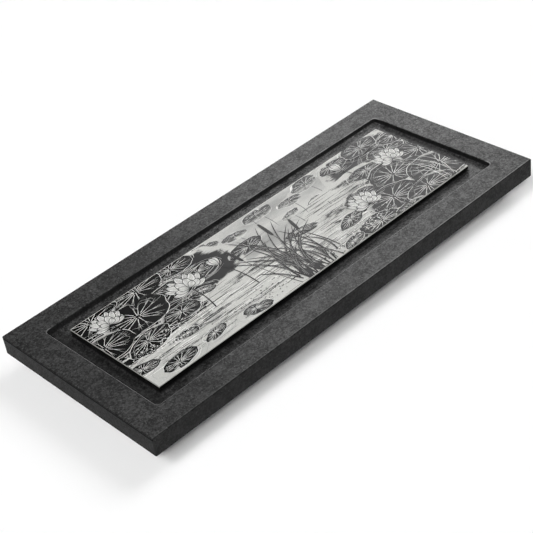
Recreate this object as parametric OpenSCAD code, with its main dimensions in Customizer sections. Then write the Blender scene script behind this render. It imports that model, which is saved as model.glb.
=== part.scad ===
// Gongfu tea tray: a stone slab with a moat cut round a low island, a thin picture
// board that lifts off the island, a drain hidden under that board, and six feet.
// Millimetres. -X is the drain end, -Y the front, +Z is up, and the origin is on the
// table under the middle of the slab.

/* [Slab] */
// Length of the stone slab
slab_l = 600; // [560:10:700]
// Width of the stone slab
slab_w = 252; // [240:1:320]
// Thickness of the stone slab
slab_t = 24; // [20:0.5:30]
// Radius of the slab's four upright corners
slab_corner_r = 1.5; // [1:0.5:6]
// Eased edge along the top and the bottom of the slab
slab_arris = 0.8; // [0.4:0.1:1]
// Width of the rim left along each end of the slab
rim_end_w = 34.5; // [30:0.5:40]
// Width of the rim left along each side of the slab
rim_side_w = 32.5; // [30:0.5:40]

/* [Moat] */
// Width of the moat across each end
moat_end_w = 19; // [16:1:24]
// Width of the moat along each side
moat_side_w = 19.5; // [14:0.5:24]
// Depth of the moat at its shallow end
moat_depth = 7.2; // [7:0.1:8.5]
// How much lower the moat's floor lies at the drain end
floor_fall = 2.3; // [0.5:0.1:2.5]
// Radius that the cutter leaves in the moat's outer corners
moat_corner_r = 5; // [4:0.5:12]
// Radius of the coves along both sides of the moat's floor
cove_r = 2.5; // [1.5:0.25:3]
// Fine bevel round the mouth of the moat
mouth_bevel = 0.6; // [0.3:0.1:1]

/* [Picture board] */
// Thickness of the picture board
board_t = 4.5; // [3:0.25:5]
// Radius of the board's upright corners
board_corner_r = 1; // [1:0.1:3]
// Eased edge round the top and the bottom of the board
board_arris = 0.5; // [0.3:0.1:0.8]
// Gap between the board and the island under it
board_gap = 1; // [0.6:0.1:1.4]
// How far the island's sides stand back from the board's
island_back = 0.6; // [0.3:0.1:1.5]

/* [Board pads] */
// Diameter of each pad that the board rests on
pad_d = 16; // [10:1:20]
// How deep a pad is let into the island
pad_sunk = 1; // [0.5:0.1:1.2]
// Clearance round a pad in its socket
pad_clear = 0.2; // [0.1:0.05:0.4]
// Distance from the board's end to the outer pads
pad_inset_x = 24; // [20:1:36]
// Distance from the board's side to the pads
pad_inset_y = 20; // [16:1:26]

/* [Hidden drain] */
// Distance from the moat's end wall to the drain
drain_inset = 96; // [90:1:140]
// Width of the channel from the back of the moat to the drain
channel_w = 26; // [20:1:30]
// Width of the floor left round the drain's flange
sump_edge = 5; // [3:0.5:8]
// Diameter of the drain's flange
flange_d = 36; // [34:1:42]
// Thickness of the flange
flange_t = 3; // [2.6:0.1:3.4]
// How far the flange lies below the channel's floor
flange_drop = 0.3; // [0.1:0.1:0.6]
// Thickness of the gasket under the flange
gasket_t = 1.2; // [0.8:0.1:1.6]
// Outer diameter of the drain's threaded tail
tail_d = 20; // [18:0.5:22]
// Diameter of the water way through the tail
tail_bore_d = 13; // [12:0.5:14]
// Clearance of the flange and the tail in the stone
stone_clear = 0.5; // [0.3:0.05:1]

/* [Strainer] */
// Diameter of the strainer plate
strainer_d = 28; // [26:0.5:30]
// Thickness of the strainer plate
strainer_t = 1.2; // [1:0.1:1.4]
// Depth of the dish under the strainer
dish_h = 1; // [0.6:0.1:1]
// Diameter of each hole in the strainer
strainer_hole_d = 2.4; // [1.6:0.1:2.8]
// Spacing of the strainer's rings of holes
strainer_pitch = 3.9; // [3.6:0.1:4.2]
// Diameter of the strainer screw's shank
screw_d = 3; // [2.5:0.1:3.5]
// Diameter of the strainer screw's countersunk head
screw_head_d = 5; // [4.6:0.1:5]
// Height of the bar that takes the strainer screw
bar_h = 4; // [3:0.25:4.5]
// Width of the bar that takes the strainer screw
bar_w = 5; // [4.8:0.1:6]
// Clearance between turned metal pieces
metal_clear = 0.05; // [0.03:0.01:0.08]

/* [Lock nut] */
// Thickness of the soft washer under the slab
washer_t = 1.5; // [1:0.25:2]
// Diameter of the soft washer under the slab
washer_d = 32; // [30:1:38]
// Thickness of the hexagonal lock nut
nut_t = 4; // [3:0.5:5]
// Width across the lock nut's flats
nut_flats = 27; // [26:0.5:30]
// Thread of the tail that shows below the nut
thread_end = 1.5; // [0.5:0.25:2]

/* [Outlet] */
// Outer diameter of the outlet, over which a hose is pushed
outlet_d = 10; // [8.5:0.5:10]
// Bore of the outlet
outlet_bore_d = 7; // [5:0.5:7]
// Radius of the elbow's bend, to the middle of the tube
bend_r = 6.5; // [6:0.25:7]
// Straight length of the outlet past its bend
outlet_l = 30; // [20:1:34]
// Thickness of the collar that meets the tail
collar_t = 1.5; // [1:0.25:2]
// Length of the elbow's spigot inside the tail
spigot_l = 8; // [7:0.5:9]
// Thickness of the seal ring on the spigot
ring_d = 1.6; // [1.4:0.1:1.8]

/* [Feet] */
// Height of the feet, which is the gap under the slab
foot_h = 25; // [25:0.5:32]
// Diameter of a foot where it meets the slab
foot_top_d = 34; // [30:1:36]
// Diameter of a foot where it meets the table
foot_base_d = 28; // [26:1:32]
// Diameter of a foot at its waist
foot_waist_d = 24; // [20:0.5:25]
// Width of the ring on which a foot stands
foot_ring_w = 5; // [3:0.5:6]
// Depth of the hollow inside that ring
foot_dish = 1.2; // [0.5:0.1:2]
// Diameter of the peg that holds a foot in the slab
peg_d = 14; // [10:0.5:16]
// Length of the peg
peg_l = 4; // [3:0.25:5]
// Clearance of the peg in its socket
peg_clear = 0.15; // [0.1:0.05:0.3]
// Distance from the slab's end to the outer feet
foot_inset_x = 50; // [44:1:70]
// Distance from the slab's side to the feet
foot_inset_y = 45; // [44:1:60]

/* [Hidden] */
$fn = 64;
cove_steps = 4;
over = 5;
// The bevel's cutter starts this far inside the moat's walls, so that it crosses them
flare_in = 1;

top_z = foot_h + slab_t;
moat_l = slab_l - 2 * rim_end_w;
moat_w = slab_w - 2 * rim_side_w;
board_l = moat_l - 2 * moat_end_w;
board_w = moat_w - 2 * moat_side_w;
board_z = top_z - board_t;
island_z = board_z - board_gap;
island_l = board_l - 2 * island_back;
island_w = board_w - 2 * island_back;

fall_angle = asin(floor_fall / moat_l);
mid_floor_z = top_z - moat_depth - floor_fall / 2;
function floor_z(x) = mid_floor_z + x * tan(fall_angle);

pad_z = island_z - pad_sunk;
pad_h = pad_sunk + board_gap;
pad_x = board_l / 2 - pad_inset_x;
pad_y = board_w / 2 - pad_inset_y;

drain_x = drain_inset - moat_l / 2;
sump_r = flange_d / 2 + sump_edge;
flange_top_z = floor_z(drain_x) - flange_drop;
flange_z = flange_top_z - flange_t;
gasket_z = flange_z - gasket_t;
washer_z = foot_h - washer_t;
nut_z = washer_z - nut_t;
tail_z = nut_z - thread_end;
strainer_z = flange_top_z - strainer_t;
dish_z = strainer_z - dish_h;
bar_z = strainer_z - bar_h;
screw_head_h = (screw_head_d - screw_d) / 2;
screw_l = strainer_t + bar_h + 1;

collar_z = tail_z - collar_t;
outlet_z = collar_z - bend_r;
spigot_r = tail_bore_d / 2 - metal_clear;
ring_z = tail_z + spigot_l / 2;

foot_x = slab_l / 2 - foot_inset_x;
foot_y = slab_w / 2 - foot_inset_y;
foot_flare_h = 6;
foot_collar_h = 3;
socket_spare = 0.5;

SPOTS = [
    ["front_left", -1, -1], ["front_middle", 0, -1], ["front_right", 1, -1],
    ["back_left", -1, 1], ["back_middle", 0, 1], ["back_right", 1, 1]
];

// Points of a quarter round of radius r about a centre, turning on from one angle
function quarter(cx, cz, r, from, turn) =
    [for (i = [0:cove_steps]) let (a = from + turn * i / cove_steps) [cx + r * cos(a), cz + r * sin(a)]];

// Right-hand outlines of a plate's section, from its underside up
function eased_side(half, h, arris) =
    [[half - arris, 0], [half, arris], [half, h - arris], [half - arris, h]];
function bowl_side(half, h, cove) =
    concat(quarter(half - cove, cove, cove, -90, 90), [[half, h]]);
function skirt_side(half, h, cove) =
    concat(quarter(half + cove, cove, cove, -90, -90), [[half, h]]);
function flare_side(half, h) = [[half, 0], [half + h, h]];

// One shape of plate: kind says which outline its edge takes, e is that edge's size
function plate_side(kind, half, h, e) =
    kind == "eased" ? eased_side(half, h, e) :
    kind == "bowl" ? bowl_side(half, h, e) :
    kind == "skirt" ? skirt_side(half, h, e) : flare_side(half, h);

module plate_section(kind, width, h, e) {
    side = plate_side(kind, width / 2, h, e);
    last = len(side) - 1;
    polygon(concat(side, [for (i = [0:last]) [-side[last - i][0], side[last - i][1]]]));
}

// Plate on z = 0 whose edge keeps one outline all the way round its corners
module edged_plate(kind, l, w, h, r, e = 0) {
    rotate([90, 0, 0])
        linear_extrude(w - 2 * r, center = true) plate_section(kind, l, h, e);
    rotate([90, 0, 90])
        linear_extrude(l - 2 * r, center = true) plate_section(kind, w, h, e);
    for (sx = [-1, 1], sy = [-1, 1])
        translate([sx * (l / 2 - r), sy * (w / 2 - r), 0])
            rotate_extrude() polygon(concat([[0, 0]], plate_side(kind, r, h, e), [[0, h]]));
}

module at_spots(x, y) {
    for (spot = SPOTS) translate([spot[1] * x, spot[2] * y, 0]) children();
}

// Everything that follows the fall of the floor is drawn in this tilted frame
module on_floor() {
    translate([0, 0, mid_floor_z]) rotate([0, -fall_angle, 0]) children();
}

// The low island, with the channel and the sump that lead water to the drain
module island() {
    difference() {
        on_floor()
            edged_plate("skirt", island_l, island_w, slab_t, board_corner_r, cove_r);
        translate([-slab_l, -slab_w, island_z]) cube([2 * slab_l, 2 * slab_w, 2 * slab_t]);
        translate([drain_x, 0, 0]) {
            cylinder(h = 2 * slab_t + foot_h, r = sump_r);
            translate([-channel_w / 2, 0, 0]) cube([channel_w, slab_w, 2 * slab_t + foot_h]);
        }
    }
}

module stone_slab() {
    color("#4b4b4d")
        difference() {
            translate([0, 0, foot_h])
                edged_plate("eased", slab_l, slab_w, slab_t, slab_corner_r, slab_arris);
            difference() {
                on_floor() edged_plate("bowl", moat_l, moat_w, slab_t, moat_corner_r, cove_r);
                island();
            }
            translate([0, 0, top_z - mouth_bevel - flare_in])
                edged_plate("flare", moat_l - 2 * flare_in, moat_w - 2 * flare_in,
                    2 * mouth_bevel + flare_in, moat_corner_r - flare_in);
            at_spots(pad_x, pad_y) translate([0, 0, pad_z])
                cylinder(h = pad_h, r = pad_d / 2 + pad_clear);
            at_spots(foot_x, foot_y) translate([0, 0, foot_h - over])
                cylinder(h = over + peg_l + socket_spare, r = peg_d / 2 + peg_clear);
            translate([drain_x, 0, gasket_z]) cylinder(h = slab_t, r = flange_d / 2 + stone_clear);
            translate([drain_x, 0, foot_h - over]) cylinder(h = slab_t, r = tail_d / 2 + stone_clear);
        }
}

module picture_board() {
    color("#b9b8b3")
        translate([0, 0, board_z])
            edged_plate("eased", board_l, board_w, board_t, board_corner_r, board_arris);
}

module board_pad(spot) {
    bevel = 0.4;
    color("#2a2a2b")
        translate([spot[1] * pad_x, spot[2] * pad_y, pad_z])
            rotate_extrude()
                polygon([[0, 0], [pad_d / 2, 0], [pad_d / 2, pad_h - bevel], [pad_d / 2 - bevel, pad_h], [0, pad_h]]);
}

// Turned flange and tail, with a dish under the strainer and a bar across the bore
module drain_body() {
    tail_r = tail_d / 2;
    bore_r = tail_bore_d / 2;
    seat_r = strainer_d / 2 + metal_clear;
    bevel = 0.6;
    color("#c8c9cb")
        translate([drain_x, 0, 0])
            difference() {
                union() {
                    rotate_extrude()
                        polygon([
                            [bore_r, tail_z], [tail_r - bevel, tail_z], [tail_r, tail_z + bevel],
                            [tail_r, flange_z], [flange_d / 2 - bevel, flange_z],
                            [flange_d / 2, flange_z + bevel], [flange_d / 2, flange_top_z],
                            [seat_r, flange_top_z], [seat_r, strainer_z],
                            [seat_r - dish_h, strainer_z], [bore_r, dish_z]
                        ]);
                    intersection() {
                        translate([-tail_d, -bar_w / 2, bar_z]) cube([2 * tail_d, bar_w, bar_h]);
                        translate([0, 0, bar_z]) cylinder(h = bar_h, r = bore_r + 1);
                    }
                }
                translate([0, 0, bar_z - over]) cylinder(h = slab_t, r = screw_d / 2 + metal_clear);
            }
}

// Round plate with a drilled pattern and a countersink for its screw
module drain_strainer() {
    rings = floor((strainer_d - strainer_hole_d - 2) / 2 / strainer_pitch);
    sink_r = screw_d / 2 + metal_clear;
    color("#d0d1d3")
        translate([drain_x, 0, strainer_z])
            difference() {
                cylinder(h = strainer_t, d = strainer_d);
                for (ring = [1:rings], i = [0:6 * ring - 1])
                    rotate(i * 60 / ring)
                        translate([ring * strainer_pitch, 0, -over])
                            cylinder(h = 2 * over, d = strainer_hole_d, $fn = 24);
                translate([0, 0, -over]) cylinder(h = 2 * over, r = sink_r);
                translate([0, 0, strainer_t - screw_head_h])
                    cylinder(h = 2 * screw_head_h, r1 = sink_r, r2 = sink_r + 2 * screw_head_h);
            }
}

module strainer_screw() {
    slot_w = 0.8;
    slot_deep = 0.5;
    color("#9fa1a4")
        translate([drain_x, 0, flange_top_z])
            difference() {
                rotate_extrude()
                    polygon([
                        [0, -screw_l], [screw_d / 2, -screw_l], [screw_d / 2, -screw_head_h],
                        [screw_head_d / 2, 0], [0, 0]
                    ]);
                translate([-screw_head_d, -slot_w / 2, -slot_deep]) cube([2 * screw_head_d, slot_w, over]);
            }
}

// Flat ring round the tail: the gasket above the stone and the washer below it
module tail_ring(z, h, d) {
    translate([drain_x, 0, z])
        difference() {
            cylinder(h = h, d = d);
            translate([0, 0, -over]) cylinder(h = h + 2 * over, r = tail_d / 2 + stone_clear / 2);
        }
}

module flange_gasket() {
    color("#d8d6cf") tail_ring(gasket_z, gasket_t, flange_d);
}

module under_washer() {
    color("#d8d6cf") tail_ring(washer_z, washer_t, washer_d);
}

module lock_nut() {
    corner_r = nut_flats / 2 / cos(30);
    face_r = 0.95 * nut_flats / 2;
    disc_r = corner_r + 1;
    bevel_h = (disc_r - face_r) * tan(30);
    color("#b5b7ba")
        translate([drain_x, 0, nut_z])
            difference() {
                intersection() {
                    cylinder(h = nut_t, r = corner_r, $fn = 6);
                    rotate_extrude()
                        polygon([
                            [0, 0], [face_r, 0], [disc_r, bevel_h], [disc_r, nut_t - bevel_h],
                            [face_r, nut_t], [0, nut_t]
                        ]);
                }
                translate([0, 0, -over]) cylinder(h = nut_t + 2 * over, r = tail_d / 2 + metal_clear);
            }
}

// Elbow that pushes up into the tail and turns the water towards the drain end
module outlet_elbow() {
    outer_r = outlet_d / 2;
    bore_r = outlet_bore_d / 2;
    bevel = 0.6;
    color("#c8c9cb")
        translate([drain_x, 0, 0]) mirror([1, 0, 0])
            union() {
                elbow_spigot(bore_r);
                translate([bend_r, 0, collar_z])
                    rotate([-90, 0, 0])
                        rotate_extrude(angle = 90, start = 90)
                            translate([bend_r, 0]) difference() {
                                circle(r = outer_r);
                                circle(r = bore_r);
                            }
                translate([bend_r, 0, outlet_z])
                    rotate([0, 90, 0])
                        rotate_extrude()
                            polygon([
                                [bore_r, 0], [outer_r, 0], [outer_r, outlet_l - bevel],
                                [outer_r - bevel, outlet_l], [bore_r, outlet_l]
                            ]);
            }
}

// Spigot with a collar under it and a groove for its seal ring
module elbow_spigot(bore_r) {
    groove_r = spigot_r - ring_d;
    rotate_extrude()
        polygon([
            [bore_r, collar_z], [tail_d / 2, collar_z], [tail_d / 2, tail_z], [spigot_r, tail_z],
            [spigot_r, ring_z - ring_d / 2], [groove_r, ring_z - ring_d / 2],
            [groove_r, ring_z + ring_d / 2], [spigot_r, ring_z + ring_d / 2],
            [spigot_r, tail_z + spigot_l], [bore_r, tail_z + spigot_l]
        ]);
}

module elbow_seal_ring() {
    color("#262627")
        translate([drain_x, 0, ring_z])
            rotate_extrude() translate([spigot_r - ring_d / 2, 0]) circle(d = ring_d);
}

// Turned foot with a flared head, a waist, a hollow base and a peg
module foot(spot) {
    top_r = foot_top_d / 2;
    base_r = foot_base_d / 2;
    waist_r = foot_waist_d / 2;
    ring_r = base_r - foot_ring_w;
    lip = 1.5;
    color("#303031")
        translate([spot[1] * foot_x, spot[2] * foot_y, 0])
            rotate_extrude()
                polygon([
                    [0, foot_dish], [ring_r - foot_dish, foot_dish], [ring_r, 0], [base_r - lip / 2, 0],
                    [base_r, lip / 2], [base_r, lip], [waist_r, lip + base_r - waist_r],
                    [waist_r, foot_h - foot_flare_h - foot_collar_h], [top_r, foot_h - foot_collar_h],
                    [top_r, foot_h], [peg_d / 2, foot_h], [peg_d / 2, foot_h + peg_l], [0, foot_h + peg_l]
                ]);
}

stone_slab();
picture_board();
drain_body();
drain_strainer();
strainer_screw();
flange_gasket();
under_washer();
lock_nut();
outlet_elbow();
elbow_seal_ring();
for (spot = SPOTS) {
    board_pad(spot);
    foot(spot);
}
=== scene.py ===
import math
import random
from functools import partial

import bmesh
import bpy
from mathutils import Matrix, Vector


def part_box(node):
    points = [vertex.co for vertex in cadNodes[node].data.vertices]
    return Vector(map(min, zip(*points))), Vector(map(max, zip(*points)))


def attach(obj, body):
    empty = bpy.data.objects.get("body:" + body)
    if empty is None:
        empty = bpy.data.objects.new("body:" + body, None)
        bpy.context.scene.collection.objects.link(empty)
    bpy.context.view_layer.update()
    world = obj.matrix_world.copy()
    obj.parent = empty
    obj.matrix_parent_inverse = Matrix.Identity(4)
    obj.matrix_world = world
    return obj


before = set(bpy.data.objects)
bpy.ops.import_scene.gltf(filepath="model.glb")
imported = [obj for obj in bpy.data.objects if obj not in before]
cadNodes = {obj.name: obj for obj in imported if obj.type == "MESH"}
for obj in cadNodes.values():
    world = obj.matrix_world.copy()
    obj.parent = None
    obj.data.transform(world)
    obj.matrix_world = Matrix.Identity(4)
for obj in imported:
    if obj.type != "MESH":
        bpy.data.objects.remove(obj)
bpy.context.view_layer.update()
mm, micron = 1e-3, 1e-6


# Colours are picked as sRGB hex and turned into the linear values that sockets want
def srgb(code):
    parts = [int(code[i:i + 2], 16) / 255 for i in (1, 3, 5)]
    return (*(c / 12.92 if c <= 0.04045 else ((c + 0.055) / 1.055) ** 2.4 for c in parts), 1.0)


# Adds one node: settings are its attributes. Inputs go by name, or in order to the live sockets, and each
# is a value, a socket or a node, whose first live output is then taken.
def addNode(tree, kind, settings=None, inputs=()):
    node = tree.nodes.new(kind)
    for key, value in (settings or {}).items():
        setattr(node, key, value)
    live = [socket for socket in node.inputs if socket.enabled]
    for key, value in inputs.items() if isinstance(inputs, dict) else enumerate(inputs):
        socket = node.inputs[key] if isinstance(key, str) else live[key]
        if isinstance(value, bpy.types.Node):
            value = next(output for output in value.outputs if output.enabled)
        if isinstance(value, bpy.types.NodeSocket):
            tree.links.new(value, socket)
        else:
            socket.default_value = value
    return node


def newMaterial(name):
    material = bpy.data.materials.new(name)
    material.use_nodes = True
    material.node_tree.nodes.clear()
    return material, partial(addNode, material.node_tree)


# Settings that many nodes share
smooth = {"interpolation_type": "SMOOTHSTEP"}
plus, minus, times, larger, absolute = (
    {"operation": name} for name in ("ADD", "SUBTRACT", "MULTIPLY", "MAXIMUM", "ABSOLUTE"))
mixed = {"data_type": "RGBA"}
multiplied = {"data_type": "RGBA", "blend_type": "MULTIPLY"}


# 1 between two heights, with soft ends
def band(add, source, low, high, softness=0.3):
    soft = (high - low) * softness
    return add("ShaderNodeMath", times, (add("ShaderNodeMapRange", smooth, (source, low, low + soft)),
                                         add("ShaderNodeMapRange", smooth, (source, high, high - soft))))


# Limits on the parts of a face's normal, for the three measures of the next function
facingLimits = {"upright": (0.7, 0.3), "leaning": (0.97, 0.85), "lengthways": (0.3, 0.7)}


# How upright a face is, 1 where it leans at about 45 degrees, and 1 where it looks along the tray
def facing(add):
    normal = add("ShaderNodeVectorMath", absolute, (add("ShaderNodeNewGeometry").outputs["Normal"],))
    alongX, alongY, alongZ = add("ShaderNodeSeparateXYZ", None, (normal,)).outputs
    widest = add("ShaderNodeMath", larger, (add("ShaderNodeMath", larger, (alongX, alongY)), alongZ))
    return [add("ShaderNodeMapRange", smooth, (part, *facingLimits[name]))
            for part, name in ((alongZ, "upright"), (widest, "leaning"), (alongX, "lengthways"))]


# Fine black stone, sawn and honed: no gloss, a tight dark grey mottle and a few pale flecks. A painted
# highlight lies along the moat's lip and the slab's front arris, painted shade darkens the moat and the outer
# faces, and painted dark lines lie under the end face's arris and along its foot. A range holds the two
# limits of a ramp, then its two ends if they aren't 0 and 1.
slab = {
    # Mottle
    "dark": "#121212", "light": "#404040", "fleck": "#6c6c6c", "side": "#2a2a2a", "sideShare": 0.55,
    "grain": {"Scale": 1 / (2.4 * mm), "Detail": 6, "Roughness": 0.72}, "grainShare": 0.7,
    "blotch": {"Scale": 1 / (13 * mm), "Detail": 4, "Roughness": 0.6, "Distortion": 0.8},
    "cloud": {"Scale": 1 / (70 * mm), "Detail": 3, "Roughness": 0.5},
    "flecks": {"Scale": 1 / (1.6 * mm), "Detail": 2, "Roughness": 0.4},
    "mottleRange": (0.40, 0.62), "cloudRange": (0.3, 0.7, 0.86, 1.15), "fleckRange": (0.64, 0.74, 0, 0.6),
    # Surface, whose tooth is finer in life and is drawn as coarse as it needs to show
    "roughRange": (0.35, 0.65, 0.52, 0.33), "ior": 1.5, "mirror": 0.035, "toothStrength": 0.5,
    "toothDepth": 0.16 * mm, "tooth": {"Scale": 1 / (2.2 * mm), "Detail": 5, "Roughness": 0.7},
    # Moat: its size round the board, and its painted light and shade, as shares of the rim's colour
    "moatEnd": 19 * mm, "moatSide": 19.5 * mm, "mouthCorner": 5 * mm, "mouthSoft": 0.3 * mm,
    "belowLip": (0.6 * mm, 1.2 * mm), "aboveFoot": (1 * mm, 3 * mm),
    "darkFrom": 1 * mm, "darkTo": 3 * mm, "floorShade": 0.95, "drainEndShade": 0.55,
    "backStep": 6 * mm, "backRange": (-0.25, 0.15, 1.3, 2.9), "farStep": 2 * mm, "farShade": 1.5,
    "gapOutside": (-0.5 * mm, 2 * mm, 0.35, 1), "gapUnder": (-3 * mm, -9 * mm, 0.35, 1),
    "wallShades": (0, 1, 0.9, 0.5),
    # Painted highlight along the moat's lip
    "highlightGrey": "#8a8a8a", "patches": {"Scale": 1 / (9 * mm), "Detail": 3, "Roughness": 0.55},
    "patchRange": (0.3, 0.6, 0.5, 1), "lip": 0.95 * mm, "lipSoft": 0.3 * mm, "lipDepth": (0.8 * mm, 0.5 * mm),
    "lipFrom": 8 * mm, "lipTo": 14 * mm, "lipFront": (-0.2, 0.25, 0.9, 1.15), "lipBack": (-0.22, 0.22),
    # Outer faces: painted shade on front and end, painted dark lines, and the front arris, with painted shade
    # below and a painted highlight above
    "outerRange": (20 * mm, 26 * mm), "paintedFaceShades": (0, 1, 0.86, 0.68), "edgeDark": "#0c0c0c",
    "arrisShadeLine": (3.4 * mm, 0.7 * mm), "footShadeLine": (2.8 * mm, 1.6 * mm), "farEdge": (2 * mm, 1 * mm),
    "farShare": 0.6, "bevelDepth": (1.6 * mm, 1.0 * mm), "bevelShares": (0, 1, 0.55, 0),
    "strip": (0.7 * mm, 2.4 * mm), "stripDepth": (0.4 * mm, 0.2 * mm), "stripRange": (-0.2, 0.25, 0.1, 0.46),
}
slabLow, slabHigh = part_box("stone_slab")
boardLow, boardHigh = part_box("picture_board")


def mottledStone(add, coords):
    grain, blotch, cloud, flecks = (add("ShaderNodeTexNoise", None, {"Vector": coords, **slab[name]})
                                    for name in ("grain", "blotch", "cloud", "flecks"))
    mottle = add("ShaderNodeMix", None, (slab["grainShare"], blotch, grain))
    pale = add("ShaderNodeMapRange", smooth, (mottle, *slab["mottleRange"]))
    colour = add("ShaderNodeMix", mixed, (pale, srgb(slab["dark"]), srgb(slab["light"])))
    clouds = add("ShaderNodeMapRange", smooth, (cloud, *slab["cloudRange"]))
    colour = add("ShaderNodeMix", multiplied, (1.0, colour, clouds))
    atFleck = add("ShaderNodeMapRange", smooth, (flecks, *slab["fleckRange"]))
    return add("ShaderNodeMix", mixed, (atFleck, colour, srgb(slab["fleck"]))), mottle


# Distance out from the mouth of the moat, which has rounded corners
def mouthDistance(add, coords):
    corner = slab["mouthCorner"]
    reach = (boardHigh.x + slab["moatEnd"] - corner, boardHigh.y + slab["moatSide"] - corner, 0)
    flat = add("ShaderNodeVectorMath", times, (coords, (1, 1, 0)))
    across = add("ShaderNodeVectorMath", absolute, (flat,))
    past = add("ShaderNodeVectorMath", minus, (across, reach))
    past = add("ShaderNodeVectorMath", larger, (past, (0, 0, 0)))
    distance = add("ShaderNodeVectorMath", {"operation": "LENGTH"}, (past,))
    return add("ShaderNodeMath", minus, (distance, corner))


# Painted light and shade in the moat: darker floor at the drain end, paler along the back, dark close to the
# board
def moatShade(add, x, y, upright, lengthways):
    drainEndDark = add("ShaderNodeMapRange", smooth, (x, boardLow.x + slab["darkFrom"], boardLow.x - slab["darkTo"],
                                              slab["floorShade"], slab["drainEndShade"]))
    atBack = add("ShaderNodeMapRange", smooth, (y, boardHigh.y, boardHigh.y + slab["backStep"]))
    back = add("ShaderNodeMath", times, (atBack, add("ShaderNodeMapRange", smooth, (x, *slab["backRange"]))))
    far = add("ShaderNodeMapRange", smooth, (x, boardHigh.x, boardHigh.x + slab["farStep"], 1,
                                             slab["farShade"]))
    floor = add("ShaderNodeMath", times, (drainEndDark, add("ShaderNodeMath", larger, (back, far))))
    wall = add("ShaderNodeMapRange", smooth, (lengthways, *slab["wallShades"]))
    fromEnd, fromSide = (add("ShaderNodeMath", minus, (add("ShaderNodeMath", absolute, (place,)), edge))
                         for place, edge in ((x, boardHigh.x), (y, boardHigh.y)))
    fromBoard = add("ShaderNodeMath", larger, (fromEnd, fromSide))
    outside, under = (add("ShaderNodeMapRange", smooth, (fromBoard, *slab[name]))
                      for name in ("gapOutside", "gapUnder"))
    return add("ShaderNodeMath", times, (add("ShaderNodeMix", None, (upright, floor, wall)),
                                         add("ShaderNodeMath", larger, (outside, under))))


# Where a painted highlight lies on the lip: along the near end and the front, and along the back towards the
# far end
def lipHighlight(add, x, y, z, away, patchy):
    start, end = slab["lipFrom"], slab["lipTo"]
    near = add("ShaderNodeMapRange", smooth, (x, -boardHigh.x - start, -boardHigh.x - end))
    front = add("ShaderNodeMath", times, (
        add("ShaderNodeMapRange", smooth, (y, -boardHigh.y - start, -boardHigh.y - end)),
        add("ShaderNodeMapRange", smooth, (x, *slab["lipFront"]))))
    back = add("ShaderNodeMath", times, (
        add("ShaderNodeMapRange", smooth, (y, boardHigh.y + start, boardHigh.y + end)),
        add("ShaderNodeMapRange", smooth, (x, *slab["lipBack"]))))
    highlightGrey = add("ShaderNodeMath", larger, (add("ShaderNodeMath", larger, (near, front)), back))
    low, high = slab["lipDepth"]
    atLip = add("ShaderNodeMath", times, (
        add("ShaderNodeMapRange", smooth, (away, slab["lip"], slab["lip"] - slab["lipSoft"])),
        add("ShaderNodeMapRange", smooth, (z, slabHigh.z - low, slabHigh.z - high))))
    return add("ShaderNodeMath", times, (atLip, add("ShaderNodeMath", times, (highlightGrey, patchy))))


# Painted shade: dark lines on the end face, under its arris and along its foot, and the dark far edge of the
# top
def edgeShadeLines(add, x, z, atEnd):
    high, low = slab["arrisShadeLine"]
    footHigh, footLow = slab["footShadeLine"]
    edgeIn, edgeOut = slab["farEdge"]
    line = add("ShaderNodeMath", larger, (
        band(add, z, slabHigh.z - high, slabHigh.z - low),
        add("ShaderNodeMapRange", smooth, (z, slabLow.z + footHigh, slabLow.z + footLow))))
    farEdge = add("ShaderNodeMapRange", smooth, (x, slabHigh.x - edgeIn, slabHigh.x - edgeOut, 0,
                                                 slab["farShare"]))
    return add("ShaderNodeMath", larger, (add("ShaderNodeMath", times, (atEnd, line)), farEdge))


# The front arris: painted shade on its bevel, and a painted highlight on the strip of the top beside it,
# paler towards the far end
def frontArris(add, x, y, z, leaning, lengthways, outer, patchy):
    low, high = slab["bevelDepth"]
    atBevel = add("ShaderNodeMath", times, (
        add("ShaderNodeMath", times, (leaning, outer)),
        add("ShaderNodeMapRange", smooth, (z, slabHigh.z - low, slabHigh.z - high))))
    bevel = add("ShaderNodeMath", times, (
        atBevel, add("ShaderNodeMapRange", smooth, (lengthways, *slab["bevelShares"]))))
    start, end = slab["strip"]
    low, high = slab["stripDepth"]
    onTop = add("ShaderNodeMath", times, (
        band(add, y, slabLow.y + start, slabLow.y + end),
        add("ShaderNodeMapRange", smooth, (z, slabHigh.z - low, slabHigh.z - high))))
    stripHighlight = add("ShaderNodeMath", times, (
        add("ShaderNodeMapRange", smooth, (x, *slab["stripRange"])), patchy))
    return bevel, add("ShaderNodeMath", times, (onTop, stripHighlight))


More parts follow.
